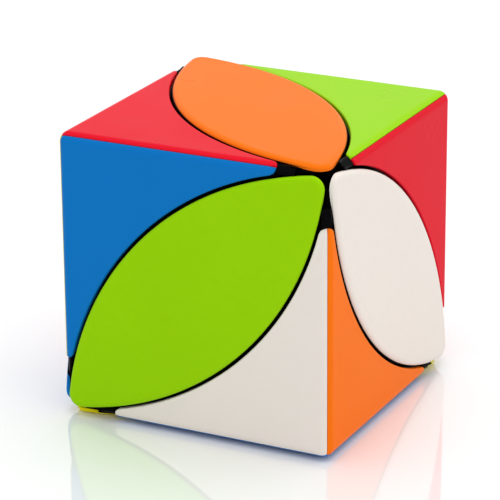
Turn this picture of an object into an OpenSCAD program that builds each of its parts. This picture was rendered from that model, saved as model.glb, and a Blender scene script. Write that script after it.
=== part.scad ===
// Cube-shaped corner-turning puzzle: four turning corners, six leaf-shaped
// face pieces and a hidden core.  Origin at the cube's centre, +Z up, -Y to
// the front, +X to the right.  All sizes in millimetres.
//
// The four turning corners sit at the alternate corners of the cube, so their
// axes are the four diagonals of a tetrahedron.  Every cut between a turning
// corner and the rest is a surface of revolution about that corner's diagonal:
// a sphere round the corner in the outer zone, and two cones from the cube's
// centre nearer the core.  Each leaf lies inside the cuts of the two corners
// that share its face, so it goes round with either of them.

/* [Outside] */
// Half the distance between two opposite flat faces
face_half = 27.8; // [27.4:0.1:28.2]
// Radius of the spherical cut round each turning corner
cut_r = 58.2; // [58:0.1:58.3]
// Distance of that sphere's centre beyond the corner, along its diagonal
cut_shift = 5.5; // [5.4:0.1:5.6]
// Height of a leaf's cap above the flat face
leaf_proud = 0.6; // [0.4:0.1:0.9]
// Depth of a leaf's cap below the flat face
cap_sink = 0.2; // [0.1:0.1:0.4]
// Half width of a leaf's cap
cap_half_w = 14; // [13.8:0.05:14]
// Radius of a leaf's two long arcs
cap_arc_r = 58.5; // [57.8:0.1:58.5]
// Radius of the two rounded tips of a leaf's cap
tip_r = 2.3; // [2:0.1:2.6]
// Thickness of a coloured tile on a corner
tile_t = 1.2; // [1:0.1:1.5]
// Distance between the cut surface and the rim of a tile
tile_back = 0.3; // [0.25:0.05:0.5]
// Rounding radius of the cube's edges, which chamfers stand for here
edge_r = 2; // [1:0.25:2.25]
// Distance from the end of a tile's wing to the still corner of the cube
tile_end = 10.2; // [9.5:0.1:11.5]
// Distance from the end of a base's wing to the still corner of the cube
wing_end = 6.0; // [5.5:0.1:7.5]
// Slant of the wing ends: 0 is square to the edge
wing_slant = 0.5; // [0.3:0.05:0.6]
// Gap between two tiles of one corner, across the mitre
mitre_gap = 0.06; // [0.04:0.01:0.12]

/* [Cuts inside] */
// Play between a moving piece and the cut surface, on each side
play = 0.15; // [0.12:0.01:0.18]
// Radius of the core's ball
ball_r = 14; // [13.6:0.1:14.2]
// Radius between the feet and the flanges
foot_r = 18.5; // [18.3:0.1:18.8]
// Radius between the flanges and the outer bodies
neck_r = 22; // [21.8:0.1:22.2]
// Half angle of the cone cut in the flange zone
neck_ang = 60; // [59.5:0.5:61]
// Half angle of the cone cut in the foot zone
foot_ang = 65.5; // [65:0.25:66]
// Half angle of each still head on the core
head_ang = 16; // [14:1:18]

/* [Screws and springs] */
// Diameter of a screw's shank
screw_d = 3; // [2.6:0.1:3]
// Radial clearance between a shank and the bore of its corner
bore_play = 0.1; // [0.06:0.02:0.1]
// Diameter of the pan head
screw_head_d = 6.2; // [5.8:0.1:6.4]
// Distance from the cube's centre to the underside of the screw head
screw_seat = 36.5; // [35.5:0.5:37]
// Distance from the cube's centre to the screw's inner end
screw_tip = 5.5; // [5:0.5:6]
// Diameter of the well that holds a spring and a screw head
well_d = 7.6; // [7.2:0.1:8]
// Distance from the cube's centre to the floor of the well
well_floor = 24.5; // [24.2:0.1:25]
// Thickness of a washer
washer_t = 0.5; // [0.4:0.1:0.6]
// Diameter of a spring's wire
wire_d = 0.8; // [0.6:0.05:0.8]
// Radius from a spring's axis to the middle of its wire
coil_r = 2.55; // [2.4:0.05:2.6]
// Number of turns of a spring
coil_turns = 7; // [6:1:8]

/* [Hidden] */
$fn = 96;

// plastic colours
black = "#0c0d10";
blue = "#1673be";
red = "#e0323e";
yellow = "#f4d21c";
orange = "#ff7f2e";
white = "#eeeae6";
green = "#8fd210";
core_grey = "#2a2c30";
steel = "#b9bcc1";

// turning corners: a top left front, b bottom right front,
// c top right back, d bottom left back
corner_dir = [[-1, -1, 1], [1, -1, -1], [1, 1, 1], [-1, 1, -1]];
a = 0; b = 1; c = 2; d = 3;
diag_tilt = acos(1 / sqrt(3));
// distance of the sphere's centre beyond each of the three faces
face_shift = cut_shift / sqrt(3);
// distance from the face's centre line to the centre of a leaf's arc
arc_off = cap_arc_r - cap_half_w;
// half the distance between two opposite edge chamfers, across the cube
chamfer_half = (face_half - edge_r * (1 - sqrt(0.5))) * sqrt(2);
// reach along the leaf of its black base, just short of the cap's tips
base_reach = 35.5;

// corner c is drawn in place, and the others are half turns of it
module at_corner(k)
    rotate(k == a ? [0, 0, 180] : k == b ? [180, 0, 0] : k == d ? [0, 180, 0] : [0, 0, 0])
        children();

// thirds of a turn about the diagonal of corner c: top to right, top to back
module third(i)
    rotate(i == 1 ? [90, 0, 90] : i == 2 ? [-90, -90, 0] : [0, 0, 0])
        children();

// the top leaf is drawn in place, and the others are turned from it
module on_face(f) {
    if (f == "top") children();
    if (f == "bottom") rotate([180, 0, 0]) children();
    if (f == "right") third(1) children();
    if (f == "back") third(2) children();
    if (f == "left") rotate([0, 0, 180]) third(1) children();
    if (f == "front") rotate([0, 0, 180]) third(2) children();
}

// local +Z along the diagonal of corner k
module along(k) at_corner(k) rotate([0, diag_tilt, 45]) children();

// the volume inside the cut of corner k, grown by g
module cut_ball(k, g)
    along(k) translate([0, 0, face_half * sqrt(3) + cut_shift]) sphere(r = cut_r + g);
module cut_cone(k, half, g)
    along(k) translate([0, 0, -g / sin(half)])
        cylinder(h = 40, r1 = 0, r2 = 40 * tan(half));

module shell(r_in, r_out)
    difference() {
        sphere(r = r_out);
        sphere(r = r_in);
    }

module centred_cube(half) translate([-half, -half, -half]) cube(2 * half);

// cube with its twelve edges cut at 45 degrees, bar from the centre
module chamfered_cube(half, bar)
    intersection() {
        centred_cube(half);
        rotate([45, 0, 0]) translate([-60, -bar, -bar]) cube([120, 2 * bar, 2 * bar]);
        rotate([0, 45, 0]) translate([-bar, -60, -bar]) cube([2 * bar, 120, 2 * bar]);
        rotate([0, 0, 45]) translate([-bar, -bar, -60]) cube([2 * bar, 2 * bar, 120]);
    }

// the space beyond the end of each wing of corner c, s from the still corners
module beyond_wings(s)
    for (i = [0:2]) third(i)
        translate([s - face_half, face_half, face_half])
            rotate([0, acos(-wing_slant / sqrt(1 + 2 * pow(wing_slant, 2))),
                    atan2(-wing_slant, -1)])
                translate([-6.5, -6.5, 0]) cube([13, 13, 14]);

// ---- core ----------------------------------------------------------------

module core() color(core_grey)
    difference() {
        union() {
            sphere(r = ball_r);
            for (k = [a, b, c, d]) {
                // post of the still corner opposite turning corner k
                difference() {
                    intersection() {
                        shell(ball_r - 0.6, foot_r + play + 0.5);
                        along(k) rotate([180, 0, 0])
                            cylinder(h = 30, r1 = 0, r2 = 30 * tan(head_ang));
                    }
                    for (j = [a, b, c, d]) if (j != k) cut_cone(j, foot_ang, play);
                }
                // its head, which keeps the feet of three leaves down
                difference() {
                    intersection() {
                        shell(foot_r + play, neck_r - play);
                        along(k) rotate([180, 0, 0])
                            cylinder(h = 30, r1 = 0, r2 = 30 * tan(head_ang));
                    }
                    for (j = [a, b, c, d]) if (j != k) cut_cone(j, neck_ang, play);
                }
            }
        }
        for (k = [a, b, c, d]) along(k)
            translate([0, 0, screw_tip - 0.5]) cylinder(h = 20, d = screw_d + 0.04);
    }

// ---- screws, washers and springs ------------------------------------------

module screw()
    difference() {
        union() {
            translate([0, 0, screw_tip]) cylinder(h = screw_seat - screw_tip + 0.5, d = screw_d);
            // pan head
            translate([0, 0, screw_seat]) cylinder(h = 1.4, d = screw_head_d);
            translate([0, 0, screw_seat + 1.4])
                cylinder(h = 0.8, d1 = screw_head_d, d2 = screw_head_d - 2);
        }
        // cross recess
        for (t = [0, 90]) rotate([0, 0, t])
            translate([-1.7, -0.35, screw_seat + 0.9]) cube([3.4, 0.7, 3]);
    }

module screws() color(steel) for (k = [a, b, c, d]) along(k) screw();

module washers() color(steel) for (k = [a, b, c, d]) along(k)
    translate([0, 0, screw_seat - washer_t - 0.02])
        difference() {
            cylinder(h = washer_t, d = screw_head_d + 0.6);
            translate([0, 0, -1]) cylinder(h = 3, d = screw_d + 0.3);
        }

// the middle of the wire along a closed-end compression spring
spring_low = well_floor + 0.06 + wire_d / 2;
spring_high = screw_seat - washer_t - 0.06 - wire_d / 2;
end_pitch = wire_d * 1.08;
mid_pitch = (spring_high - spring_low - 2 * end_pitch) / (coil_turns - 2);
function spring_z(n) =
    n <= 1 ? n * end_pitch :
    n <= coil_turns - 1 ? end_pitch + (n - 1) * mid_pitch :
    end_pitch + (coil_turns - 2) * mid_pitch + (n - coil_turns + 1) * end_pitch;
spring_steps = 16;
spring_sides = 6;
spring_rings = coil_turns * spring_steps;

module spring() {
    points = [for (i = [0:spring_rings]) for (j = [0:spring_sides - 1])
        let (t = 360 * i / spring_steps, u = 360 * j / spring_sides,
             r = coil_r + wire_d / 2 * cos(u))
        [r * cos(t), r * sin(t),
         spring_low + spring_z(i / spring_steps) + wire_d / 2 * sin(u)]];
    sides = [for (i = [0:spring_rings - 1]) for (j = [0:spring_sides - 1])
        let (p = i * spring_sides + j, q = i * spring_sides + (j + 1) % spring_sides)
        [p, p + spring_sides, q + spring_sides, q]];
    polyhedron(points,
        concat(sides,
               [[for (j = [0:spring_sides - 1]) j]],
               [[for (j = [spring_sides - 1:-1:0]) spring_rings * spring_sides + j]]));
}

module springs() color(steel) for (k = [a, b, c, d]) along(k) spring();

// ---- corners ---------------------------------------------------------------

// outer body and stalk of corner c
module corner_outer()
    difference() {
        intersection() {
            cut_ball(c, -play);
            union() {
                centred_cube(face_half - tile_t);
                // raised wing ends, which close off the tiles
                intersection() {
                    chamfered_cube(face_half - 0.3, chamfer_half - 0.35);
                    beyond_wings(tile_end - 0.1);
                }
            }
        }
        for (k = [a, b, d]) cut_ball(k, play);
        sphere(r = neck_r - 0.6);
        beyond_wings(wing_end);
    }

// flange of corner c, over the feet of the leaves, and its foot on the core
module corner_inner()
    difference() {
        union() {
            intersection() {
                sphere(r = neck_r - play);
                cut_cone(c, neck_ang, -play);
            }
            intersection() {
                sphere(r = foot_r - play);
                cut_cone(c, foot_ang, -play);
            }
        }
        for (k = [a, b, d]) cut_cone(k, neck_ang, play);
        intersection() {
            sphere(r = foot_r + play);
            union() for (k = [a, b, d]) cut_cone(k, foot_ang, play);
        }
        sphere(r = ball_r + play);
    }

// black base of corner c
module corner_base()
    difference() {
        union() {
            corner_outer();
            corner_inner();
        }
        along(c) cylinder(h = 40, d = screw_d + 2 * bore_play);
        along(c) translate([0, 0, well_floor]) cylinder(h = 40, d = well_d);
    }

// tile of corner c on the top face
module tile()
    difference() {
        intersection() {
            chamfered_cube(face_half, chamfer_half);
            translate([-40, -40, face_half - tile_t]) cube([80, 80, 10]);
            rotate([0, -45, 0]) translate([-60, -60, mitre_gap / 2]) cube([120, 120, 60]);
            rotate([45, 0, 0]) translate([-60, -60, mitre_gap / 2]) cube([120, 120, 60]);
        }
        translate([-face_half - face_shift, -face_half - face_shift, 0])
            cylinder(h = 60, r = cut_r + tile_back);
        beyond_wings(tile_end);
    }

module corner_base_a() color(black) at_corner(a) corner_base();
module corner_base_b() color(black) at_corner(b) corner_base();
module corner_base_c() color(black) at_corner(c) corner_base();
module corner_base_d() color(black) at_corner(d) corner_base();

module tile_a_front() color(blue) at_corner(a) third(2) tile();
module tile_a_top() color(red) at_corner(a) tile();
module tile_a_left() color(yellow) at_corner(a) third(1) tile();
module tile_b_front() color(white) at_corner(b) third(2) tile();
module tile_b_right() color(orange) at_corner(b) third(1) tile();
module tile_b_bottom() color(blue) at_corner(b) tile();
module tile_c_top() color(green) at_corner(c) tile();
module tile_c_right() color(red) at_corner(c) third(1) tile();
module tile_c_back() color(white) at_corner(c) third(2) tile();
module tile_d_left() color(orange) at_corner(d) third(1) tile();
module tile_d_back() color(yellow) at_corner(d) third(2) tile();
module tile_d_bottom() color(green) at_corner(d) tile();

// ---- leaves ----------------------------------------------------------------

// black base of the top leaf: body, neck between two flanges, foot
module leaf_base()
    union() {
        difference() {
            intersection() {
                cut_ball(a, -play);
                cut_ball(c, -play);
                rotate([0, 0, -45]) translate([-base_reach, -20, 0])
                    cube([2 * base_reach, 40, face_half - cap_sink]);
            }
            cut_ball(b, play);
            cut_ball(d, play);
            sphere(r = neck_r + play);
        }
        intersection() {
            shell(foot_r - play - 0.6, neck_r + play + 0.6);
            cut_cone(a, neck_ang, -play);
            cut_cone(c, neck_ang, -play);
        }
        intersection() {
            shell(ball_r + play, foot_r - play);
            cut_cone(a, foot_ang, -play);
            cut_cone(c, foot_ang, -play);
        }
    }

// outline of a leaf's cap, long axis along X: two arcs and two round tips
tip_x = sqrt(pow(cap_arc_r - tip_r, 2) - pow(arc_off, 2));
join_x = tip_x * cap_arc_r / (cap_arc_r - tip_r);
module leaf_outline() {
    intersection() {
        translate([0, -arc_off]) circle(r = cap_arc_r);
        translate([0, arc_off]) circle(r = cap_arc_r);
        translate([-join_x, -20]) square([2 * join_x, 40]);
    }
    for (s = [-1, 1]) translate([s * tip_x, 0]) circle(r = tip_r);
}

module leaf_cap()
    rotate([0, 0, -45]) translate([0, 0, face_half - cap_sink])
        linear_extrude(height = cap_sink + leaf_proud) leaf_outline();

module leaf_base_front() color(black) on_face("front") leaf_base();
module leaf_base_top() color(black) on_face("top") leaf_base();
module leaf_base_right() color(black) on_face("right") leaf_base();
module leaf_base_left() color(black) on_face("left") leaf_base();
module leaf_base_back() color(black) on_face("back") leaf_base();
module leaf_base_bottom() color(black) on_face("bottom") leaf_base();

module leaf_cap_front() color(green) on_face("front") leaf_cap();
module leaf_cap_top() color(orange) on_face("top") leaf_cap();
module leaf_cap_right() color(white) on_face("right") leaf_cap();
module leaf_cap_left() color(blue) on_face("left") leaf_cap();
module leaf_cap_back() color(red) on_face("back") leaf_cap();
module leaf_cap_bottom() color(yellow) on_face("bottom") leaf_cap();

// ---- output ----------------------------------------------------------------

core();
screws();
washers();
springs();
corner_base_a();
corner_base_b();
corner_base_c();
corner_base_d();
tile_a_front();
tile_a_top();
tile_a_left();
tile_b_front();
tile_b_right();
tile_b_bottom();
tile_c_top();
tile_c_right();
tile_c_back();
tile_d_left();
tile_d_back();
tile_d_bottom();
leaf_base_front();
leaf_base_top();
leaf_base_right();
leaf_base_left();
leaf_base_back();
leaf_base_bottom();
leaf_cap_front();
leaf_cap_top();
leaf_cap_right();
leaf_cap_left();
leaf_cap_back();
leaf_cap_bottom();
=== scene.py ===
import bpy
import math
from mathutils import Matrix, Vector
from mathutils.geometry import delaunay_2d_cdt


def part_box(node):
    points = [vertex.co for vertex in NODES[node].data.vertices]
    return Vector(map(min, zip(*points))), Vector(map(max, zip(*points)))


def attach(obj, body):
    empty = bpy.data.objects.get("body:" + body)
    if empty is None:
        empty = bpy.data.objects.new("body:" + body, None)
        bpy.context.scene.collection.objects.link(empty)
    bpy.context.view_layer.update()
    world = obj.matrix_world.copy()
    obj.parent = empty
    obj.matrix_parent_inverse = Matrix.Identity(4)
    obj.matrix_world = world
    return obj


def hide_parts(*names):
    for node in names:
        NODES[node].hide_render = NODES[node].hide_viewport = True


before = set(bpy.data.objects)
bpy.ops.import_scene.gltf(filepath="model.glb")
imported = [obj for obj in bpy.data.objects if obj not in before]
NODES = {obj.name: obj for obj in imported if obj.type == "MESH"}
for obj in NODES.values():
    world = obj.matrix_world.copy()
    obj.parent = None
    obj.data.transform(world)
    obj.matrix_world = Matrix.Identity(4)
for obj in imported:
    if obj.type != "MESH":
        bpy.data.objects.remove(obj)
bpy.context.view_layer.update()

MM = 0.001

# ---------------------------------------------------------------- dimensions
# All in millimetres, in the cube's own frame.
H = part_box("tile_c_top")[1].z / MM            # flat face
TILE_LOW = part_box("tile_c_top")[0].z / MM     # underside of a tile
CAP_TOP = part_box("leaf_cap_top")[1].z / MM    # top of a leaf
CAP_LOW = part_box("leaf_cap_top")[0].z / MM
EDGE_R = 2.0                                  # rounding of the cube's edges
CUT_R = 58.2
CUT_SHIFT = 5.5 / math.sqrt(3)
TILE_R = CUT_R + 0.3                          # arc of a tile's rim
CAP_HALF_W = 14.0
CAP_ARC_R = 58.5
TIP_R = 2.3
TILE_END = 10.2
WING_SLANT = 0.5
END_R = 1.7                                   # rounding of a wing's end, in plan
MITRE = 0.07                                  # gap between two tiles of a corner
TILE_RIM = (0.34, 0.34)                               # rounding of a tile's free rim
MITRE_RIM = (0.10, 0.10)
CAP_RIM = (1.15, 0.70)                        # rounding of a leaf's rim: across, down
CAP_CROWN = 0.06
TIP_SKIRT = 0.35

C = H - EDGE_R


# ---------------------------------------------------------------- small tools
def smoothstep(t):
    t = min(max(t, 0.0), 1.0)
    return t * t * (3 - 2 * t)


def rot_scad(rx, ry, rz):
    """OpenSCAD's rotate([x, y, z])."""
    return (Matrix.Rotation(math.radians(rz), 3, "Z")
            @ Matrix.Rotation(math.radians(ry), 3, "Y")
            @ Matrix.Rotation(math.radians(rx), 3, "X"))


AT = {"a": rot_scad(0, 0, 180), "b": rot_scad(180, 0, 0),
      "c": Matrix.Identity(3), "d": rot_scad(0, 180, 0)}
THIRD = [Matrix.Identity(3), rot_scad(90, 0, 90), rot_scad(-90, -90, 0)]
HALF = rot_scad(0, 0, 180)
ON_FACE = {"top": Matrix.Identity(3), "bottom": rot_scad(180, 0, 0),
           "right": THIRD[1], "back": THIRD[2],
           "left": HALF @ THIRD[1], "front": HALF @ THIRD[2]}


def tile_surface(x, y):
    """Height and unit normal of the cube's rounded top edge."""
    ax, ay = max(0.0, x - C), max(0.0, y - C)
    zz = EDGE_R * EDGE_R - ax * ax - ay * ay
    az = math.sqrt(max(zz, 1e-9))
    return C + az, Vector((ax, ay, az)).normalized()


def cap_surface(x, y):
    """Height and normal of a leaf's very slightly crowned face."""
    lx, ly = 37.0, 15.0
    z = CAP_TOP - CAP_CROWN * ((x / lx) ** 2 + (y / ly) ** 2)
    n = Vector((2 * CAP_CROWN * x / lx ** 2, 2 * CAP_CROWN * y / ly ** 2, 1.0))
    return z, n.normalized()


def tile_low(x, y):
    return TILE_LOW


def cap_low(x, y):
    """A cap's underside; its two tips reach down past the ends of the black base."""
    return CAP_LOW - TIP_SKIRT * smoothstep((abs(x) - 31.5) / 3.5)


def cap_flare(x, y):
    """Outward lean of a cap's underside, which keeps its tips clear of the base."""
    return 0.05 * smoothstep((abs(x) - 29.5) / 2.0)


def plate(outline, surface, low, rows, steps=5, flare=None):
    """A closed plate.  outline is a list of (x, y, outs, rim): plan point, one or
    two outward plan directions, and the two half axes of the rounded rim there.
    surface gives height and normal of the face, low the height of the underside,
    and rows are lines of inner points that the face's mesh follows."""
    verts, norms, faces, corner_n = [], [], [], []
    rings = []
    for j in range(steps + 1):
        phi = math.pi / 2 * j / steps
        ring = []
        for x, y, outs, rim in outline:
            z, n = surface(x, y)
            p = Vector((x, y, z))
            o3 = Vector((0, 0, 0))
            for ox, oy in outs:
                o = Vector((ox, oy, 0.0))
                o -= n * o.dot(n)
                o3 += o.normalized()
            wide, deep = rim
            pos = p - o3 * wide * (1 - math.sin(phi)) - n * deep * (1 - math.cos(phi))
            nor = (n * math.cos(phi) * wide
                   + o3.normalized() * math.sin(phi) * deep).normalized()
            ring.append(len(verts))
            verts.append(pos)
            norms.append(nor)
        rings.append(ring)
    # the wall runs down the face's normal to the underside
    ring = []
    for i, (x, y, outs, rim) in enumerate(outline):
        z, n = surface(x, y)
        p = verts[rings[-1][i]]
        q = p - n * ((p.z - low(x, y)) / n.z)
        if flare:
            for ox, oy in outs:
                q += Vector((ox, oy, 0.0)) * flare(x, y)
        ring.append(len(verts))
        verts.append(q)
        norms.append(norms[rings[-1][i]])
    rings.append(ring)

    count = len(outline)
    for r0, r1 in zip(rings, rings[1:]):
        for i in range(count):
            k = (i + 1) % count
            faces.append((r0[i], r1[i], r1[k], r0[k]))
            corner_n.append(None)

    # face: fill of the innermost ring
    base = [Vector((verts[v].x, verts[v].y)) for v in rings[0]]
    coords = list(base)
    edges = []
    for row in rows:
        prev = None
        for x, y in row:
            if inside(base, x, y) and clearance(base, x, y) > 0.045:
                coords.append(Vector((x, y)))
                if prev is not None:
                    edges.append((prev, len(coords) - 1))
                prev = len(coords) - 1
            else:
                prev = None
    out = delaunay_2d_cdt(coords, edges, [list(range(count))], 1, 1e-6)
    index = {}
    for k, origs in enumerate(out[3]):
        ringed = [o for o in origs if o < count]
        if ringed:
            index[k] = rings[0][ringed[0]]
        else:
            x, y = out[0][k]
            z, n = surface(x, y)
            index[k] = len(verts)
            verts.append(Vector((x, y, z)))
            norms.append(n)
    for f in out[2]:
        tri = [index[k] for k in f]
        a, b, c = (verts[k] for k in tri)
        if (b - a).cross(c - a).z < 0:
            tri.reverse()
        faces.append(tuple(tri))
        corner_n.append(None)

    # underside
    low_pts = [Vector((verts[v].x, verts[v].y)) for v in rings[-1]]
    out = delaunay_2d_cdt(low_pts, [], [list(range(count))], 1, 1e-7)
    index = {k: rings[-1][origs[0]] for k, origs in enumerate(out[3])}
    for f in out[2]:
        tri = [index[k] for k in f]
        a, b, c = (verts[k] for k in tri)
        if (b - a).cross(c - a).z > 0:
            tri.reverse()
        faces.append(tuple(tri))
        corner_n.append(Vector((0, 0, -1)))
    return verts, norms, faces, corner_n


def inside(poly, x, y):
    hit = False
    j = len(poly) - 1
    for i in range(len(poly)):
        xi, yi, xj, yj = poly[i].x, poly[i].y, poly[j].x, poly[j].y
        if (yi > y) != (yj > y) and x < (xj - xi) * (y - yi) / (yj - yi) + xi:
            hit = not hit
        j = i
    return hit


def clearance(poly, x, y):
    best = 1e9
    j = len(poly) - 1
    for i in range(len(poly)):
        ax, ay, bx, by = poly[j].x, poly[j].y, poly[i].x, poly[i].y
        dx, dy = bx - ax, by - ay
        L = dx * dx + dy * dy
        t = 0 if L == 0 else min(1, max(0, ((x - ax) * dx + (y - ay) * dy) / L))
        d = math.hypot(x - ax - t * dx, y - ay - t * dy)
        best = min(best, d)
        j = i
    return best


def to_mesh(name, data, turn):
    verts, norms, faces, corner_n = data
    me = bpy.data.meshes.new(name)
    me.from_pydata([tuple((turn @ v) * MM) for v in verts], [], faces)
    me.update()
    for p in me.polygons:
        p.use_smooth = True
    custom = []
    for p, flat in zip(me.polygons, corner_n):
        for v in p.vertices:
            n = flat if flat is not None else norms[v]
            custom.append(tuple(turn @ n))
    me.normals_split_custom_set(custom)
    ob = bpy.data.objects.new(name, me)
    bpy.context.scene.collection.objects.link(ob)
    return ob


# ---------------------------------------------------------------- tile shape
def tile_data():
    a0 = H + CUT_SHIFT
    q = MITRE / math.sqrt(2)

    def mitre_y(x):
        ax = max(0.0, x - C)
        return C + (-q + math.sqrt(2 * (EDGE_R ** 2 - ax * ax) - q * q)) / 2

    # vertex of the cube: both mitres meet
    lo, hi = C, H
    for _ in range(60):
        m = (lo + hi) / 2
        if mitre_y(m) > m:
            lo = m
        else:
            hi = m
    xv = (lo + hi) / 2

    # end line of the wing along the edge y = H, rounded into the arc:
    # x = -H + TILE_END + slant * (H - y)   (and the same again for z on the edge's
    # rounding, which keeps the two tiles' ends together at the mitre)
    def end_x(y):
        z, _ = tile_surface(0, y)
        return -H + TILE_END + WING_SLANT * ((H - y) + (H - z))
    s = math.sqrt(1 + WING_SLANT ** 2)
    nx, ny = 1 / s, WING_SLANT / s            # inward normal of the end line in plan
    d0 = nx * (-H + TILE_END + WING_SLANT * H)
    # centre of the rounding: TILE_R + END_R from the arc's centre, END_R inside the line
    best = None
    for k in range(200001):
        y = C - 4 + k * 0.00004
        x = (d0 + END_R - ny * y) / nx
        g = abs(math.hypot(x + a0, y + a0) - (TILE_R + END_R))
        if best is None or g < best[0]:
            best = (g, x, y)
    _, ex, ey = best
    t_end = Vector((ex - nx * END_R, ey - ny * END_R))       # touches the end line
    to_a = Vector((-a0 - ex, -a0 - ey)).normalized()
    t_arc = Vector((ex, ey)) + to_a * END_R                  # touches the arc

    half = []
    # 1. mitre, from the vertex to the wing's end (y = mitre, x falling)
    xs = [C + EDGE_R * math.sin(math.radians(t)) for t in (32, 28, 24, 20, 16, 12, 8, 4)]
    xs = [x for x in xs if x < xv - 0.05]
    x_end = end_x(mitre_y(0))
    x = C
    span = C - (x_end + 1.6)
    n_col = int(round(span / 1.45))
    cols = [C - span * i / n_col for i in range(n_col + 1)]
    cols += [x_end + 1.2, x_end + 0.85, x_end + 0.55, x_end + 0.3]
    for x in xs + cols:
        away = x - x_end
        near = 1 - smoothstep(away / 1.4)
        rim = tuple(m + (t - m) * near for m, t in zip(MITRE_RIM, TILE_RIM))
        half.append((x, mitre_y(x), [(0.0, 1.0)], rim))
    # corner of mitre and end line
    half.append((x_end, mitre_y(x_end), [(0.0, 1.0), (-nx, -ny)], TILE_RIM))
    # 2. end line down to the rounding
    y0, y1 = mitre_y(x_end), t_end.y
    steps = max(1, int(round((y0 - y1) / 0.25)))
    for i in range(1, steps):
        y = y0 + (y1 - y0) * i / steps
        half.append((end_x(y), y, [(-nx, -ny)], TILE_RIM))
    # 3. rounding
    g0 = math.atan2(t_end.y - ey, t_end.x - ex)
    g1 = math.atan2(t_arc.y - ey, t_arc.x - ex)
    if g1 < g0:
        g1 += 2 * math.pi
    steps = max(4, int(math.degrees(g1 - g0) / 7))
    for i in range(steps + 1):
        g = g0 + (g1 - g0) * i / steps
        px, py = ex + END_R * math.cos(g), ey + END_R * math.sin(g)
        # the end plane leans on the edge's rounding, where y > C
        z, _ = tile_surface(0, py)
        w = max(0.0, math.cos(g - g0))
        px += WING_SLANT * (H - z) * w
        half.append((px, py, [(math.cos(g), math.sin(g))], TILE_RIM))
    # 4. arc, to the diagonal
    p0 = math.atan2(t_arc.y + a0, t_arc.x + a0)
    p1 = math.radians(45)
    steps = int(round((p0 - p1) * TILE_R / 0.95))
    for i in range(1, steps + 1):
        p = p0 + (p1 - p0) * i / steps
        ca, sa = math.cos(p), math.sin(p)
        half.append((-a0 + TILE_R * ca, -a0 + TILE_R * sa, [(-ca, -sa)], TILE_RIM))
    other = [(y, x, [(oy, ox) for ox, oy in outs], rim)
             for x, y, outs, rim in reversed(half[:-1])]
    outline = ([(xv, xv, [(1.0, 0.0), (0.0, 1.0)], MITRE_RIM)] + half + other)

    rows = []
    angles = (0.0, 5.6, 11.2, 16.9, 22.5, 28.1, 33.7, 39.4)
    levels = [C + EDGE_R * math.sin(math.radians(t)) for t in angles]
    along = sorted(set([round(x, 6) for x in cols + xs]
                       + [round(v, 6) for v in levels] + [round(C, 6)]))
    for lv in levels:
        rows.append([(x, lv) for x in along])
        rows.append([(lv, y) for y in along])
    return outline, rows


def leaf_outline():
    off = CAP_ARC_R - CAP_HALF_W
    tx = math.sqrt((CAP_ARC_R - TIP_R) ** 2 - off ** 2)
    jx = tx * CAP_ARC_R / (CAP_ARC_R - TIP_R)
    a_join = math.atan2(math.sqrt(CAP_ARC_R ** 2 - jx ** 2), jx)
    pts = []
    n_arc = 76
    for i in range(n_arc + 1):                       # upper arc, +x to -x
        g = a_join + (math.pi - 2 * a_join) * i / n_arc
        pts.append((CAP_ARC_R * math.cos(g), -off + CAP_ARC_R * math.sin(g),
                    [(math.cos(g), math.sin(g))], CAP_RIM))
    g0 = math.pi - a_join
    n_tip = 26
    for i in range(1, n_tip):                        # tip at -x
        g = g0 + (2 * a_join) * i / n_tip
        pts.append((-tx + TIP_R * math.cos(g), TIP_R * math.sin(g),
                    [(math.cos(g), math.sin(g))], CAP_RIM))
    out = list(pts)
    for x, y, outs, rim in pts:                      # the other half, turned half round
        out.append((-x, -y, [(-ox, -oy) for ox, oy in outs], rim))
    return out


# ---------------------------------------------------------------- materials
def srgb(r, g, b):
    def lin(v):
        v /= 255.0
        return v / 12.92 if v <= 0.04045 else ((v + 0.055) / 1.055) ** 2.4
    return (lin(r), lin(g), lin(b), 1.0)


def shade(c, k):
    return tuple(min(1.0, v * k) for v in c[:3]) + (1.0,)


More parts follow.
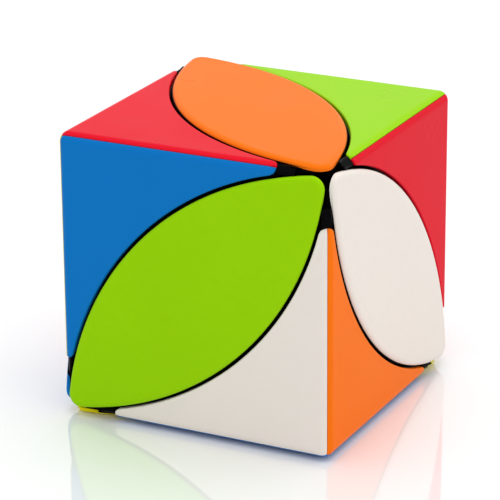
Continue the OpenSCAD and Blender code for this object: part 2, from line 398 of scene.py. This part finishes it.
def plastic(name, colour, rough=(0.27, 0.34), vary=0.015, ior=1.46, grain=2600.0,
            bump=0.012, coat=0.0, spec=0.035):
    """Moulded plastic: slow colour drift, faint specks of pigment, fine surface grain and
    very light handling scuffs in the roughness."""
    m = bpy.data.materials.new(name)
    m.use_nodes = True
    nt = m.node_tree
    nt.nodes.clear()
    N, L = nt.nodes.new, nt.links.new
    out = N("ShaderNodeOutputMaterial")
    p = N("ShaderNodeBsdfPrincipled")
    L(p.outputs[0], out.inputs[0])
    p.inputs["IOR"].default_value = ior
    p.inputs["Specular IOR Level"].default_value = spec
    p.inputs["Coat Weight"].default_value = coat
    p.inputs["Coat Roughness"].default_value = 0.12
    tc = N("ShaderNodeTexCoord")
    # slow drift of the colour
    n1 = N("ShaderNodeTexNoise")
    n1.inputs["Scale"].default_value = 38.0
    n1.inputs["Detail"].default_value = 3.0
    L(tc.outputs["Object"], n1.inputs["Vector"])
    r1 = N("ShaderNodeValToRGB")
    r1.color_ramp.elements[0].position = 0.3
    r1.color_ramp.elements[1].position = 0.7
    r1.color_ramp.elements[0].color = shade(colour, 1 - vary)
    r1.color_ramp.elements[1].color = shade(colour, 1 + vary)
    L(n1.outputs[0], r1.inputs[0])
    # faint specks of pigment
    n2 = N("ShaderNodeTexNoise")
    n2.inputs["Scale"].default_value = 900.0
    n2.inputs["Detail"].default_value = 2.0
    L(tc.outputs["Object"], n2.inputs["Vector"])
    mix = N("ShaderNodeMix")
    mix.data_type = "RGBA"
    mix.inputs[7].default_value = shade(colour, 0.96)
    fac = N("ShaderNodeMapRange")
    fac.inputs[1].default_value = 0.45
    fac.inputs[2].default_value = 0.75
    fac.inputs[3].default_value = 0.0
    fac.inputs[4].default_value = 0.35
    L(n2.outputs[0], fac.inputs[0])
    L(fac.outputs[0], mix.inputs[0])
    L(r1.outputs[0], mix.inputs[6])
    L(mix.outputs[2], p.inputs["Base Color"])
    # roughness: soft patches, and scuffs as thin stretched marks
    n3 = N("ShaderNodeTexNoise")
    n3.inputs["Scale"].default_value = 75.0
    n3.inputs["Detail"].default_value = 5.0
    L(tc.outputs["Object"], n3.inputs["Vector"])
    r3 = N("ShaderNodeMapRange")
    r3.inputs[1].default_value = 0.3
    r3.inputs[2].default_value = 0.7
    r3.inputs[3].default_value = rough[0]
    r3.inputs[4].default_value = rough[1]
    L(n3.outputs[0], r3.inputs[0])
    mp = N("ShaderNodeMapping")
    mp.inputs["Rotation"].default_value = (0.5, 0.8, 0.3)
    mp.inputs["Scale"].default_value = (1.0, 14.0, 9.0)
    L(tc.outputs["Object"], mp.inputs["Vector"])
    n4 = N("ShaderNodeTexNoise")
    n4.inputs["Scale"].default_value = 160.0
    n4.inputs["Detail"].default_value = 2.0
    L(mp.outputs[0], n4.inputs["Vector"])
    r4 = N("ShaderNodeMapRange")
    r4.inputs[1].default_value = 0.66
    r4.inputs[2].default_value = 0.74
    r4.inputs[3].default_value = 0.0
    r4.inputs[4].default_value = 0.07
    L(n4.outputs[0], r4.inputs[0])
    add = N("ShaderNodeMath")
    add.operation = "ADD"
    L(r3.outputs[0], add.inputs[0])
    L(r4.outputs[0], add.inputs[1])
    L(add.outputs[0], p.inputs["Roughness"])
    # fine grain
    n5 = N("ShaderNodeTexNoise")
    n5.inputs["Scale"].default_value = grain
    n5.inputs["Detail"].default_value = 2.0
    L(tc.outputs["Object"], n5.inputs["Vector"])
    b = N("ShaderNodeBump")
    b.inputs["Strength"].default_value = bump
    b.inputs["Distance"].default_value = 0.0001
    L(n5.outputs[0], b.inputs["Height"])
    L(b.outputs[0], p.inputs["Normal"])
    return m


def metal(name, colour, rough=(0.22, 0.36)):
    m = bpy.data.materials.new(name)
    m.use_nodes = True
    nt = m.node_tree
    nt.nodes.clear()
    N, L = nt.nodes.new, nt.links.new
    out = N("ShaderNodeOutputMaterial")
    p = N("ShaderNodeBsdfPrincipled")
    L(p.outputs[0], out.inputs[0])
    p.inputs["Metallic"].default_value = 1.0
    tc = N("ShaderNodeTexCoord")
    n1 = N("ShaderNodeTexNoise")
    n1.inputs["Scale"].default_value = 420.0
    n1.inputs["Detail"].default_value = 4.0
    L(tc.outputs["Object"], n1.inputs["Vector"])
    r1 = N("ShaderNodeValToRGB")
    r1.color_ramp.elements[0].color = shade(colour, 0.82)
    r1.color_ramp.elements[1].color = shade(colour, 1.08)
    L(n1.outputs[0], r1.inputs[0])
    L(r1.outputs[0], p.inputs["Base Color"])
    r2 = N("ShaderNodeMapRange")
    r2.inputs[3].default_value = rough[0]
    r2.inputs[4].default_value = rough[1]
    L(n1.outputs[0], r2.inputs[0])
    L(r2.outputs[0], p.inputs["Roughness"])
    n2 = N("ShaderNodeTexNoise")
    n2.inputs["Scale"].default_value = 3500.0
    L(tc.outputs["Object"], n2.inputs["Vector"])
    b = N("ShaderNodeBump")
    b.inputs["Strength"].default_value = 0.08
    b.inputs["Distance"].default_value = 0.00005
    L(n2.outputs[0], b.inputs["Height"])
    L(b.outputs[0], p.inputs["Normal"])
    return m


MAT = {
    "blue": plastic("blue_plastic", srgb(14, 118, 197)),
    "red": plastic("red_plastic", srgb(226, 18, 41)),
    "yellow": plastic("yellow_plastic", srgb(238, 224, 8)),
    "orange": plastic("orange_plastic", srgb(251, 118, 16)),
    "white": plastic("white_plastic", srgb(238, 230, 222), vary=0.008),
    "green": plastic("green_plastic", srgb(152, 213, 6)),
    "black": plastic("black_plastic", srgb(7, 7, 9), rough=(0.24, 0.30), vary=0.12,
                     grain=1800.0, bump=0.02, spec=0.02),
    "core": plastic("core_plastic", srgb(42, 44, 48), rough=(0.38, 0.5), vary=0.08,
                    grain=1500.0, bump=0.08, spec=0.5),
    "steel": metal("screw_steel", srgb(190, 192, 196)),
    "wire": metal("spring_steel", srgb(176, 178, 184), rough=(0.18, 0.28)),
}

TILES = {"a": [("front", 2, "blue"), ("top", 0, "red"), ("left", 1, "yellow")],
         "b": [("front", 2, "white"), ("right", 1, "orange"), ("bottom", 0, "blue")],
         "c": [("top", 0, "green"), ("right", 1, "red"), ("back", 2, "white")],
         "d": [("left", 1, "orange"), ("back", 2, "yellow"), ("bottom", 0, "green")]}
LEAVES = {"front": "green", "top": "orange", "right": "white",
          "left": "blue", "back": "red", "bottom": "yellow"}

# ---------------------------------------------------------------- tiles
tile_out, tile_rows = tile_data()
tile_mesh = plate(tile_out, tile_surface, tile_low, tile_rows, steps=4)
for k, faces3 in TILES.items():
    for face, i, colour in faces3:
        ob = to_mesh(f"tile_{k}_{face}_shell", tile_mesh, AT[k] @ THIRD[i])
        ob.data.materials.append(MAT[colour])
        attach(ob, f"corner_{k}")
        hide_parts(f"tile_{k}_{face}")

# ---------------------------------------------------------------- leaf caps
cap_out = leaf_outline()
cap_rows = []
for f in (0.93, 0.8, 0.6, 0.35):
    ring = [(x * f, y * f) for x, y, _, _ in cap_out[::4]]
    cap_rows.append(ring + ring[:1])
cap_mesh = plate(cap_out, cap_surface, cap_low, cap_rows, steps=8, flare=cap_flare)
DIAG = Matrix.Rotation(math.radians(-45), 3, "Z")
for face, colour in LEAVES.items():
    ob = to_mesh(f"leaf_cap_{face}_shell", cap_mesh, ON_FACE[face] @ DIAG)
    ob.data.materials.append(MAT[colour])
    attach(ob, f"leaf_{face}")
    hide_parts(f"leaf_cap_{face}")


# ---------------------------------------------------------------- springs
def spring_mesh(turns=7, wire=0.8, radius=2.55, low=24.96, high=35.54,
                steps=44, sides=14):
    pitch_end = wire * 1.08
    mid = (high - low - 2 * pitch_end) / (turns - 2)

    def rise(n):
        if n <= 1:
            return n * pitch_end
        if n <= turns - 1:
            return pitch_end + (n - 1) * mid
        return pitch_end + (turns - 2) * mid + (n - turns + 1) * pitch_end
    verts, faces = [], []
    rings = turns * steps
    for i in range(rings + 1):
        n = i / steps
        t = 2 * math.pi * n
        e = 0.004
        pa = Vector((radius * math.cos(t), radius * math.sin(t), low + rise(n)))
        t2 = 2 * math.pi * (n + e)
        pb = Vector((radius * math.cos(t2), radius * math.sin(t2),
                     low + rise(min(n + e, turns))))
        d = (pb - pa).normalized()
        out_dir = Vector((math.cos(t), math.sin(t), 0))
        out_dir = (out_dir - d * out_dir.dot(d)).normalized()
        up = d.cross(out_dir)
        for j in range(sides):
            u = 2 * math.pi * j / sides
            verts.append(pa + (out_dir * math.cos(u) + up * math.sin(u)) * wire / 2)
    for i in range(rings):
        for j in range(sides):
            p, q = i * sides + j, i * sides + (j + 1) % sides
            faces.append((p, q, q + sides, p + sides))
    faces.append(tuple(reversed(range(sides))))
    faces.append(tuple(rings * sides + j for j in range(sides)))
    return verts, faces


sv, sf = spring_mesh()
tilt = math.acos(1 / math.sqrt(3))
lean = Matrix.Rotation(math.radians(45), 3, "Z") @ Matrix.Rotation(tilt, 3, "Y")
all_v, all_f = [], []
for k in "abcd":
    t = AT[k] @ lean
    off = len(all_v)
    all_v += [tuple((t @ v) * MM) for v in sv]
    all_f += [tuple(i + off for i in f) for f in sf]
me = bpy.data.meshes.new("spring_coils")
me.from_pydata(all_v, [], all_f)
me.update()
for p in me.polygons:
    p.use_smooth = len(p.vertices) == 4
springs = bpy.data.objects.new("spring_coils", me)
bpy.context.scene.collection.objects.link(springs)
springs.data.materials.append(MAT["wire"])
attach(springs, "core")
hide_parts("springs")


# ---------------------------------------------------------------- CAD nodes that stay
def dress(node, mat, width, segments=3, angle=30):
    ob = NODES[node]
    ob.data.materials.clear()
    ob.data.materials.append(mat)
    if width:
        w = ob.modifiers.new("weld", "WELD")
        w.merge_threshold = 0.000004
        d = ob.modifiers.new("flat", "DECIMATE")
        d.decimate_type = "DISSOLVE"
        d.angle_limit = math.radians(0.6)
        b = ob.modifiers.new("edge", "BEVEL")
        b.width = width * MM
        b.segments = segments
        b.limit_method = "ANGLE"
        b.angle_limit = math.radians(angle)
        b.use_clamp_overlap = False
        b.harden_normals = True
        b.miter_outer = "MITER_ARC"


for k in "abcd":
    dress(f"corner_base_{k}", MAT["black"], 0.4, segments=3)
for face in LEAVES:
    dress(f"leaf_base_{face}", MAT["black"], 0.0)
dress("core", MAT["core"], 0.0)
dress("screws", MAT["steel"], 0.0)
dress("washers", MAT["steel"], 0.0)

# ---------------------------------------------------------------- stage
scene = bpy.context.scene
scene.view_settings.view_transform = "Standard"
scene.view_settings.look = "None"
scene.view_settings.exposure = 0.0
scene.view_settings.gamma = 1.0

FLOOR_Z = -CAP_TOP * MM
SKY_LOW, SKY_RISE, SKY_SIDE, SKY_BACK = 0.96, 0.10, 0.08, 0.12
bpy.ops.mesh.primitive_plane_add(size=12.0, location=(0, 0, FLOOR_Z))
floor = bpy.context.object
floor.name = "floor"
fm = bpy.data.materials.new("floor_gloss")
fm.use_nodes = True
nt = fm.node_tree
p = nt.nodes["Principled BSDF"]
p.inputs["Roughness"].default_value = 0.05
p.inputs["IOR"].default_value = 2.0
p.inputs["Coat Weight"].default_value = 0.0
tc = nt.nodes.new("ShaderNodeTexCoord")
nz = nt.nodes.new("ShaderNodeTexNoise")
nz.inputs["Scale"].default_value = 6.0
nt.links.new(tc.outputs["Object"], nz.inputs["Vector"])
rp = nt.nodes.new("ShaderNodeValToRGB")
rp.color_ramp.elements[0].color = (0.93, 0.93, 0.94, 1)
rp.color_ramp.elements[1].color = (0.96, 0.96, 0.965, 1)
nt.links.new(nz.outputs[0], rp.inputs[0])
nt.links.new(rp.outputs[0], p.inputs["Base Color"])
floor.data.materials.append(fm)

world = bpy.data.worlds.new("studio")
scene.world = world
world.use_nodes = True
wn = world.node_tree
bg = wn.nodes["Background"]
bg.inputs[0].default_value = (1.0, 1.0, 1.0, 1.0)
# one large soft sky: a little fuller overhead, towards +X and behind the object
wtc = wn.nodes.new("ShaderNodeTexCoord")
strength = None
for axis, value in (((0, 0, 1), SKY_RISE), ((1, 0, 0), SKY_SIDE),
                    ((0, 1, 0), SKY_BACK)):
    dot = wn.nodes.new("ShaderNodeVectorMath")
    dot.operation = "DOT_PRODUCT"
    dot.inputs[1].default_value = axis
    wn.links.new(wtc.outputs["Generated"], dot.inputs[0])
    ma = wn.nodes.new("ShaderNodeMath")
    ma.operation = "MULTIPLY_ADD"
    ma.inputs[1].default_value = value
    ma.inputs[2].default_value = SKY_LOW
    wn.links.new(dot.outputs["Value"], ma.inputs[0])
    if strength is not None:
        wn.links.new(strength, ma.inputs[2])
    strength = ma.outputs[0]
wn.links.new(strength, bg.inputs[1])


def area(name, loc, target, size, power, colour=(1, 1, 1)):
    ld = bpy.data.lights.new(name, "AREA")
    ld.shape = "RECTANGLE"
    ld.size, ld.size_y = size
    ld.energy = power
    ld.color = colour
    ob = bpy.data.objects.new(name, ld)
    scene.collection.objects.link(ob)
    ob.location = loc
    ob.rotation_euler = (Vector(target) - Vector(loc)).to_track_quat("-Z", "Y").to_euler()
    return ob


area("overhead", (0.05, 0.05, 0.55), (0, 0, 0), (0.5, 0.5), 0.6)

# ---------------------------------------------------------------- camera
HALF_EDGE = H * MM
AZ, EL, ROLL = (math.radians(v) for v in (26.556, 20.240, -0.457))
DIST, TX, TY = 19.572, -0.05929, -0.00847
FOCAL = 2840.58
back = Vector((math.sin(AZ) * math.cos(EL), -math.cos(AZ) * math.cos(EL), math.sin(EL)))
fwd = -back
right = fwd.cross(Vector((0, 0, 1))).normalized()
up = right.cross(fwd)
r2 = right * math.cos(ROLL) + up * math.sin(ROLL)
u2 = -right * math.sin(ROLL) + up * math.cos(ROLL)
pos = (back * DIST + r2 * TX + u2 * TY) * HALF_EDGE
cd = bpy.data.cameras.new("camera")
cd.sensor_width = 36.0
cd.lens = 36.0 * FOCAL / 500.0
cd.clip_start, cd.clip_end = 0.01, 50
cam = bpy.data.objects.new("camera", cd)
scene.collection.objects.link(cam)
cam.matrix_world = Matrix(((r2.x, u2.x, back.x, pos.x), (r2.y, u2.y, back.y, pos.y),
                           (r2.z, u2.z, back.z, pos.z), (0, 0, 0, 1)))
scene.camera = cam
